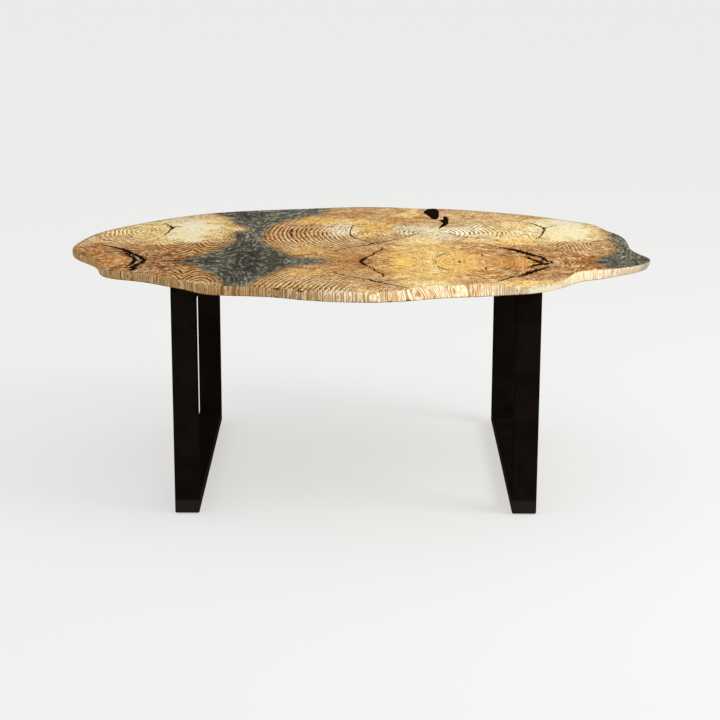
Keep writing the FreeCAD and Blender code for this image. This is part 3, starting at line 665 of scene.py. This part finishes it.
def edgeFigure(tree, place, pores, nick):
    # Dark lines round the ovals, with paler and darker stretches between them; over those the tints,
    # the painted highlight below the upper corner and the marks
    grainMap = addNode(tree, "UVMap", output="UV", uv_map="edgeGrain")
    along, upward = (addNode(tree, "SeparateXYZ", (grainMap,), axis) for axis in "XY")
    lengthwise = addNode(tree, "CombineXYZ", (along,))
    squashed = addNode(tree, "Math", (upward, edgeLook["uprightSquash"]), operation="MULTIPLY")
    upright = addNode(tree, "CombineXYZ", (along, squashed))

    # Ovals: distance from the middle of the nearest cell, in stripes
    across = addNode(tree, "Math", (along, shake(tree, lengthwise, *edgeLook["cellShake"])),
                     operation="ADD")
    across = addNode(tree, "Math", (across, edgeLook["cellMm"] * mm / 2), operation="PINGPONG")
    up = addNode(tree, "Math", (upward, edgeLook["middleUp"]), operation="SUBTRACT")
    up = addNode(tree, "Math", (up, edgeLook["ovalSquash"]), operation="MULTIPLY")
    oval = addNode(tree, "CombineXYZ", (across, up))
    oval = addNode(tree, "VectorMath", (oval,), "Value", operation="LENGTH")
    oval = addNode(tree, "Math", (oval, shake(tree, upright, *edgeLook["stripeShake"])),
                   operation="ADD")
    stripe = addNode(tree, "Math", (oval, edgeLook["stripeMm"] * mm), operation="DIVIDE")
    stripe = addNode(tree, "Math", (stripe, 0.5), operation="PINGPONG")
    stripe = addNode(tree, "Math", (stripe, edgeLook["lineLateness"]), operation="POWER")
    stripe = addNode(tree, "MapRange", (stripe, *edgeLook["lineMap"]),
                     interpolation_type="SMOOTHSTEP")
    band = addNode(tree, "TexNoise", {"Vector": upright, **edgeLook["bandNoise"]}, "Fac")
    pale = layOver(tree, *edgeLook["pales"], band, *edgeLook["bandRange"])
    shade = layOver(tree, edgeLook["line"], pale, stripe, curve="LINEAR")

    rightward = addNode(tree, "SeparateXYZ", (place,), "X")
    patchy = addNode(tree, "Math", (rightward, shake(tree, lengthwise, *edgeLook["tintShake"])),
                     operation="ADD")
    # painted highlight: a pale stretch just below the upper corner of the edge, between two X
    paintedRimHighlight = addNode(tree, "MapRange", (upward, *edgeLook["paintedRimHighlightBelow"], 0.0,
                                        edgeLook["paintedRimHighlightStrength"]), interpolation_type="SMOOTHSTEP")
    starts = addNode(tree, "MapRange", (rightward, *edgeLook["paintedRimHighlightFrom"], 0.0, 1.0),
                     interpolation_type="SMOOTHSTEP")
    ends = addNode(tree, "MapRange", (rightward, *edgeLook["paintedRimHighlightTo"], 1.0, 0.0),
                   interpolation_type="SMOOTHSTEP")
    for share in (starts, ends):
        paintedRimHighlight = addNode(tree, "Math", (paintedRimHighlight, share), operation="MULTIPLY")
    drivers = {"patchy": patchy, "rightward": rightward, "upward": upward, "pores": pores,
               "nick": nick}
    for driver, start, end, most, cover, mode in edgeTints:
        shade = layOver(tree, shade, cover, drivers[driver], start, end, most, mode)
    shade = layOver(tree, shade, edgeLook["paintedRimHighlight"], paintedRimHighlight, curve="LINEAR")
    for driver, start, end, most, cover, mode in edgeMarks:
        shade = layOver(tree, shade, cover, drivers[driver], start, end, most, mode)
    return shade


def slabMaterial():
    material, tree, shader = startMaterial("oiledSpaltedSlab")
    place = addNode(tree, "TexCoord", output="Object")
    flat, strokes, saw = ringProfile(tree, place)
    drawnOut = addNode(tree, "Mapping", {"Vector": flat, "Scale": wood["poreSquash"]})
    places = {"flat": flat, "strokes": strokes, "drawnOut": drawnOut}
    noises = {name: addNode(tree, "TexNoise", {
        "Vector": places[where], "Scale": cells, "Detail": detail, "Roughness": roughness,
        "Distortion": twist}, "Fac")
        for name, (where, cells, detail, roughness, twist) in woodNoises.items()}
    carried = {name: addNode(tree, "Attribute", output="Fac", attribute_name=name)
               for name in ("ringStrength", "stainGap", "stainDepth", "weathered", "nick", "onEdge")}
    shade = woodFigure(tree, noises, carried, saw)
    shade = charcoalStain(tree, shade, flat, strokes, noises, carried, saw)
    edge = edgeFigure(tree, place, noises["pores"], carried["nick"])
    shade = layOver(tree, shade, edge, carried["onEdge"], curve="LINEAR")
    tree.links.new(shade, shader.inputs["Base Color"])
    shader.inputs["Roughness"].default_value = wood["roughness"]
    shader.inputs["Specular IOR Level"].default_value = 0.0
    bump = addNode(tree, "Bump", {**wood["bump"], "Height": noises["pores"]})
    tree.links.new(bump, shader.inputs["Normal"])
    return material


slabPiece = buildSlab(slabMaterial())
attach(slabPiece, "root")
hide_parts("slab_top")
print("slab built:", len(slabPiece.data.polygons), "faces")


# Fills: black resin in the knot and the checks. Each stroke is a row of X, Y and width in mm.

fills = {
    "stepMm": 3.0,          # distance between the rows of a stroke
    "widening": 1.5,        # a drawn width stands for the dark core; the fill is this much wider
    "jag": 0.35,            # how much the width changes at random, as a share of it
    "taperMm": 4,           # a stroke narrows over this to its end share
    "endShare": 0.25,
    "tipMm": 1.5,           # and ends in a tip of this length
    "wander": 0.28,         # how far a stroke strays, as a share of its width
    "wanderMm": 0.8,        # and in mm on top of that
    "crownShare": 0.34,     # half the flat middle of a stroke, as a share of its width
    "deepMm": 1.6,
    "roundMm": 0.25,        # how far a rim lies below the polished face
    "inwardMm": 12,         # strokes keep this far inside the outline
    "plugPoints": 120,
    "plugRoughMm": 1.2,
    "plugShares": (0.5, 0.97, 1.0),   # rings of a plug's face: half way out, eased rim, full
    "seed": 11,
}

leftCheck = (
    ((-834, -4, 4), (-775, -62, 9), (-758, -78, 16), (-732, -122, 18), (-702, -172, 18),
     (-680, -205, 14), (-668, -245, 15), (-668, -268, 15), (-682, -308, 15), (-688, -350, 19),
     (-690, -404, 10)),
    ((-742, -140, 6), (-721, -180, 11), (-701, -222, 12), (-697, -257, 12), (-700, -296, 12),
     (-710, -340, 6), (-716, -368, 3)),
)
rightCheck = (
    ((404, 30, 3), (446, -17, 5), (471, -43, 9), (502, -75, 17), (526, -107, 20), (549, -145, 20),
     (573, -177, 14), (584, -194, 10), (588, -227, 13), (598, -251, 9), (614, -264, 5)),
    ((530, -172, 6), (544, -202, 11), (555, -227, 14), (567, -245, 16), (581, -232, 12)),
    ((546, -264, 6), (566, -258, 15), (584, -262, 9)),
    ((609, -263, 6), (593, -276, 12), (579, -294, 20), (566, -284, 20), (553, -301, 16),
     (538, -325, 10), (525, -349, 4)),
    ((592, -322, 7), (570, -354, 14), (555, -372, 15), (541, -390, 19), (527, -405, 20),
     (512, -438, 16), (502, -449, 9), (491, -461, 7), (476, -458, 6), (451, -496, 6), (421, -536, 4)),
)
centreCheck = (   # and the same again in front of the mirror line
    ((80, -40, 3), (76, -82, 4), (54, -118, 4), (51, -157, 5), (32, -186, 5), (19, -221, 10),
     (9, -257, 13)),
)
middleCheck = (   # repeated in front of the mirror line as hairlines
    ((200, 184, 2), (191, 173, 4), (152, 114, 4), (103, 69, 5), (65, 37, 7), (50, 24, 7),
     (35, -1, 6), (0, -22, 5), (-43, -57, 4)),
)
mirroredHairlines = (
    ((-43, -57, 3), (-69, -95, 4), (-84, -104, 1.5)), ((-96, -122, 4), (-112, -134, 2)),
    ((-128, -142, 3), (-163, -157, 5), (-200, -184, 3)),
    ((51, 36, 5), (95, 11, 4), (148, -16, 2)),
    ((384, -22, 2), (332, -70, 3), (304, -96, 3)), ((292, -112, 2), (262, -160, 4), (246, -196, 3)),
    ((243, -222, 1.5), (247, -257, 1.5)), ((320, -240, 4), (320, -257, 5)),
    ((396, -138, 3), (394, -178, 5)),
    ((174, -190, 2.5), (178, -208, 1.5)), ((184, -232, 1.5), (182, -246, 2)),
)
hairlines = (
    ((-26, 182, 4), (-18, 137, 4), (-2, 100, 3), (20, 68, 3), (50, 24, 4)),
    ((-16, 329, 3), (-22, 285, 2), (-25, 241, 3), (-26, 182, 3)),
    ((-16, 329, 3), (-40, 345, 2), (-75, 360, 1.5)),
    ((-16, 329, 3), (10, 350, 2), (40, 372, 1.5), (66, 385, 1)),
    ((-222, 270, 3), (-228, 200, 4), (-216, 110, 3)),
    ((-665, 358, 3), (-645, 320, 5), (-632, 285, 9), (-628, 262, 7), (-634, 215, 5), (-640, 170, 4),
     (-646, 146, 2)),
    ((-632, 284, 6), (-612, 296, 5), (-596, 303, 2)),
    ((583, 394, 3), (600, 370, 5), (613, 342, 5), (631, 300, 7), (632, 262, 5), (624, 225, 5),
     (613, 167, 4), (600, 125, 4), (586, 102, 2)),
    ((632, 292, 6), (657, 316, 4), (680, 344, 2)),
    ((300, 192, 4), (326, 172, 3)), ((350, 150, 2), (394, 114, 5), (406, 104, 2)),
    ((430, 92, 2), (455, 74, 5), (468, 62, 2)),
    ((682, -257, 3), (698, -257, 9), (712, -257, 3), (738, -257, 4), (754, -257, 8),
     (788, -257, 4)),
    ((-578, -257, 14), (-556, -257, 7), (-530, -257, 4)),
    ((-852, 88, 3), (-830, 66, 5), (-792, 42, 3)),
    ((-292, 290, 5), (-330, 288, 3), (-390, 292, 4)), ((-280, 52, 4), (-330, 42, 3), (-356, 30, 3)),
)

# The knot hole and its tail, as closed outlines of X and Y in mm
knotOutline = ((230, 572), (238, 606), (248, 638), (266, 648), (282, 642), (286, 610), (287, 566),
               (284, 494), (276, 442), (264, 434), (256, 446), (252, 482), (240, 526))
knotTailOutline = ((300, 500), (308, 497), (313, 483), (315, 440), (311, 368), (301, 327),
                   (288, 300), (274, 270), (272, 278), (284, 311), (294, 341), (292, 375),
                   (286, 403), (277, 417), (290, 436), (299, 440), (298, 478))


def mirrored(strokes):
    return tuple(tuple((x, 2 * mirrorLine - y, width) for x, y, width in stroke)
                 for stroke in strokes)


def insideSlab(stroke):
    # The stroke's points that lie on the wood, well inside the outline
    x, y, _ = np.array(stroke, float).T
    limit = np.interp(np.arctan2(y, x) % (2 * math.pi), slabAngles, slabRadii[-1],
                      period=2 * math.pi) / mm
    kept = np.hypot(x, y) < limit - fills["inwardMm"]
    return [point for point, keep in zip(stroke, kept) if keep]


def strokeSurface(stroke, top, dice):
    # A jagged ribbon: rows of eight points across a flat hump, along a line that strays a little
    x, y, width = np.array(stroke, float).T
    along = np.concatenate([[0], np.cumsum(np.hypot(np.diff(x), np.diff(y)))])
    rows = max(4, int(along[-1] / fills["stepMm"]))
    at = np.linspace(0, along[-1], rows)
    wide = fills["widening"] * np.interp(at, along, width)
    wide = wide * (1 + fills["jag"] * dice.uniform(-1, 1, rows))
    fromEnd = np.minimum(at, along[-1] - at)
    wide = wide * np.clip(fromEnd / fills["taperMm"] + fills["endShare"], 0, 1)
    centre = np.stack([np.interp(at, along, x), np.interp(at, along, y)], 1)
    run = np.gradient(centre, axis=0)
    run = run / np.hypot(*run.T)[:, None]
    side = np.stack([-run[:, 1], run[:, 0]], 1)
    stray = (fills["wander"] * wide + fills["wanderMm"]) * dice.uniform(-1, 1, rows)
    centre = centre + side * stray[:, None]
    rim, crown = 0.5, fills["crownShare"]
    across = np.array([-rim, -crown, crown, rim, rim, crown, -crown, -rim])
    down = np.array([1, 0, 0, 1, 1, 1, 1, 1]) * fills["roundMm"]
    down = down + np.array([0, 0, 0, 0, 1, 1, 1, 1]) * fills["deepMm"]
    shape = np.zeros((rows, len(across), 3))
    shape[..., :2] = centre[:, None] + side[:, None] * (wide[:, None] * across)[..., None]
    shape[..., 2] = top / mm - down
    tips = [np.array([*(centre[i] + run[i] * reach), top / mm - fills["deepMm"] / 2])
            for i, reach in ((0, -fills["tipMm"]), (-1, fills["tipMm"]))]
    return closedRows(shape * mm, tips[0] * mm, tips[1] * mm)


def plugSurface(outline, low, high, dice):
    # A plug through the slab: its outline is rounded, then roughened, and its rims are eased
    corners = np.array(outline, float)
    closed = np.concatenate([corners, corners[:1]])
    along = np.concatenate([[0], np.cumsum(np.hypot(*np.diff(closed, axis=0).T))])
    at = np.linspace(0, along[-1], fills["plugPoints"], endpoint=False)
    ring = np.stack([np.interp(at, along, closed[:, i]) for i in (0, 1)], 1)
    ring = (ring + np.roll(ring, 1, 0) + np.roll(ring, -1, 0)) / 3
    ring = ring + dice.uniform(-fills["plugRoughMm"], fills["plugRoughMm"], ring.shape)
    middle = ring.mean(0)
    half, eased, full = fills["plugShares"]
    ease = fills["roundMm"] * mm
    rows = [np.column_stack([(middle + (ring - middle) * share) * mm, np.full(len(ring), z)])
            for share, z in ((half, high), (eased, high), (full, high - ease),
                             (full, low + ease), (eased, low), (half, low))]
    return closedRows(np.array(rows), (*middle * mm, high), (*middle * mm, low))


# Black casting resin, sanded and polished: a dark brown-black. Its polish shows no highlight in
# the photograph, so the highlight is off.

resin = {
    "dark": "#120b07",
    "light": "#20130b",
    "hazeNoise": {"Scale": 60.0, "Detail": 2.0, "Roughness": 0.55},   # haze of 17 mm
    "hazeRange": (0.3, 0.7),
    "roughness": 0.3,
}


def resinMaterial():
    material, tree, shader = startMaterial("blackCastingResin")
    place = addNode(tree, "TexCoord", output="Object")
    haze = addNode(tree, "TexNoise", {"Vector": place, **resin["hazeNoise"]}, "Fac")
    shade = layOver(tree, resin["dark"], resin["light"], haze, *resin["hazeRange"])
    tree.links.new(shade, shader.inputs["Base Color"])
    shader.inputs["Roughness"].default_value = resin["roughness"]
    shader.inputs["Specular IOR Level"].default_value = 0.0
    return material


def addFills(material):
    dice = np.random.default_rng(fills["seed"])
    low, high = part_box("knot_resin")
    strokeSets = (
        ("leftCheckFill", leftCheck, "left_check_resin"),
        ("rightCheckFill", rightCheck, "right_check_resin"),
        ("centreCheckFill", centreCheck + mirrored(centreCheck), "centre_check_resin"),
        ("middleCheckFill", middleCheck, "middle_check_resin"),
        ("hairlineFills", hairlines + mirroredHairlines + mirrored(mirroredHairlines)
         + mirrored(middleCheck), None),
    )
    plugs = (("knotFill", knotOutline, "knot_resin"),
             ("knotTailFill", knotTailOutline, "knot_tail_resin"))
    surfaces = []
    for name, strokes, node in strokeSets:
        kept = [part for part in map(insideSlab, strokes) if len(part) > 1]
        surfaces.append((name, [strokeSurface(part, high.z, dice) for part in kept], node))
    for name, outline, node in plugs:
        surfaces.append((name, [plugSurface(outline, low.z, high.z, dice)], node))
    for name, parts, node in surfaces:
        piece = addMesh(name, parts, material)
        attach(piece, "root")
        if node:
            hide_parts(node)


addFills(resinMaterial())
print("fills cast")


# Steel: satin black powder coat, an even fine orange peel that spreads the light. The coat shows no
# highlight in the photograph. A paler band of painted light from the floor runs along the bottom
# rails.

powderCoat = {
    "dark": "#110c08",
    "light": "#17120d",
    "cloudNoise": {"Scale": 14.0, "Detail": 3.0, "Roughness": 0.55},   # clouds of 70 mm
    "cloudRange": (0.3, 0.7),
    "peelNoise": {"Scale": 900.0, "Detail": 2.0, "Roughness": 0.55},   # orange peel of about 1 mm
    # colour of the painted floor light on the lowest 50 mm of the frames
    "band": "#35302a",
    "paintedFloorLightTop": (50 * mm, 42 * mm),
    "paintedFloorLightStrength": 0.35,
    "roughness": 0.5,
    "bump": {"Strength": 0.2, "Distance": 0.2 * mm},
}


def powderCoatMaterial():
    material, tree, shader = startMaterial("satinBlackPowderCoat")
    place = addNode(tree, "TexCoord", output="Object")
    clouds, peel = (addNode(tree, "TexNoise", {"Vector": place, **powderCoat[name]}, "Fac")
                    for name in ("cloudNoise", "peelNoise"))
    shade = layOver(tree, powderCoat["dark"], powderCoat["light"], clouds, *powderCoat["cloudRange"])
    # painted light: the lowest 50 mm of the coat is lightened, as if lit from the floor
    height = addNode(tree, "SeparateXYZ", (place,), "Z")
    shade = layOver(tree, shade, powderCoat["band"], height, *powderCoat["paintedFloorLightTop"],
                    powderCoat["paintedFloorLightStrength"])
    tree.links.new(shade, shader.inputs["Base Color"])
    shader.inputs["Roughness"].default_value = powderCoat["roughness"]
    shader.inputs["Specular IOR Level"].default_value = 0.0
    bump = addNode(tree, "Bump", {**powderCoat["bump"], "Height": peel})
    tree.links.new(bump, shader.inputs["Normal"])
    return material


# Fittings: black oxide is a thin dark conversion coat, a little glossier than the powder coat, zinc
# plate is pale bluish bare metal, and moulded nylon is dark and matt

fittings = {
    "plate_bolts": {"name": "blackOxideSteel", "hexColour": "#2b2a29", "roughness": 0.38,
                    "metallic": 0.6},
    "slab_inserts": {"name": "zincPlatedSteel", "hexColour": "#b7b8b6", "roughness": 0.35,
                     "metallic": 1.0},
    "floor_glides": {"name": "mouldedNylon", "hexColour": "#1c1b1a", "roughness": 0.6,
                     "metallic": 0.0},
}


def plainMaterial(name, hexColour, roughness, metallic):
    material, _, shader = startMaterial(name)
    shader.inputs["Base Color"].default_value = colour(hexColour)
    shader.inputs["Roughness"].default_value = roughness
    shader.inputs["Metallic"].default_value = metallic
    return material


def paintNodes(names, material):
    for name in names:
        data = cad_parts[name].data
        data.materials.clear()
        data.materials.append(material)


tubeNames = [f"{side}_{member}" for side in ("left", "right")
             for member in ("front_upright", "rear_upright", "bottom_rail", "top_rail")]
paintNodes(tubeNames + ["left_mounting_plate", "right_mounting_plate"], powderCoatMaterial())
for node, finish in fittings.items():
    paintNodes([node], plainMaterial(**finish))
print("leg frames and fittings painted")


# Stage: a pale floor that reaches past the view, and soft light

stageSetup = {
    "floorHalf": 60.0,
    "floorColour": "#ebebea",
    "glow": 0.66,               # share of its colour that the floor gives off, so shadows stay pale
    "worldStrength": 1.0,
    "keyPlace": (3.6, -1.5, 3.6),
    "keySize": 2.0,
    "keyWatts": 115.0,
}


def addFloor(setup):
    half = setup["floorHalf"]
    corners = [(-half, -half, 0), (half, -half, 0), (half, half, 0), (-half, half, 0)]
    material, _, shader = startMaterial("paleStudioFloor")
    pale = colour(setup["floorColour"])
    shader.inputs["Base Color"].default_value = [c * (1 - setup["glow"]) for c in pale[:3]] + [1]
    shader.inputs["Roughness"].default_value = 1.0
    shader.inputs["Specular IOR Level"].default_value = 0.0
    shader.inputs["Emission Color"].default_value = pale
    shader.inputs["Emission Strength"].default_value = setup["glow"]
    mesh = bpy.data.meshes.new("floor")
    mesh.from_pydata(corners, [], [(0, 1, 2, 3)])
    mesh.materials.append(material)
    floor = bpy.data.objects.new("floor", mesh)
    scene.collection.objects.link(floor)


def addLight(setup):
    # White light from all round, and a soft key light that looks at the origin
    world = bpy.data.worlds.new("softWorld")
    world.use_nodes = True
    background = world.node_tree.nodes["Background"]
    background.inputs["Color"].default_value = (1, 1, 1, 1)
    background.inputs["Strength"].default_value = setup["worldStrength"]
    scene.world = world
    light = bpy.data.lights.new("softKey", "AREA")
    light.size = setup["keySize"]
    light.energy = setup["keyWatts"]
    key = bpy.data.objects.new("softKey", light)
    place = Vector(setup["keyPlace"])
    turn = (-place).to_track_quat("-Z", "Y").to_matrix().to_4x4()
    key.matrix_world = Matrix.Translation(place) @ turn
    scene.collection.objects.link(key)


addFloor(stageSetup)
addLight(stageSetup)
print("stage ready")
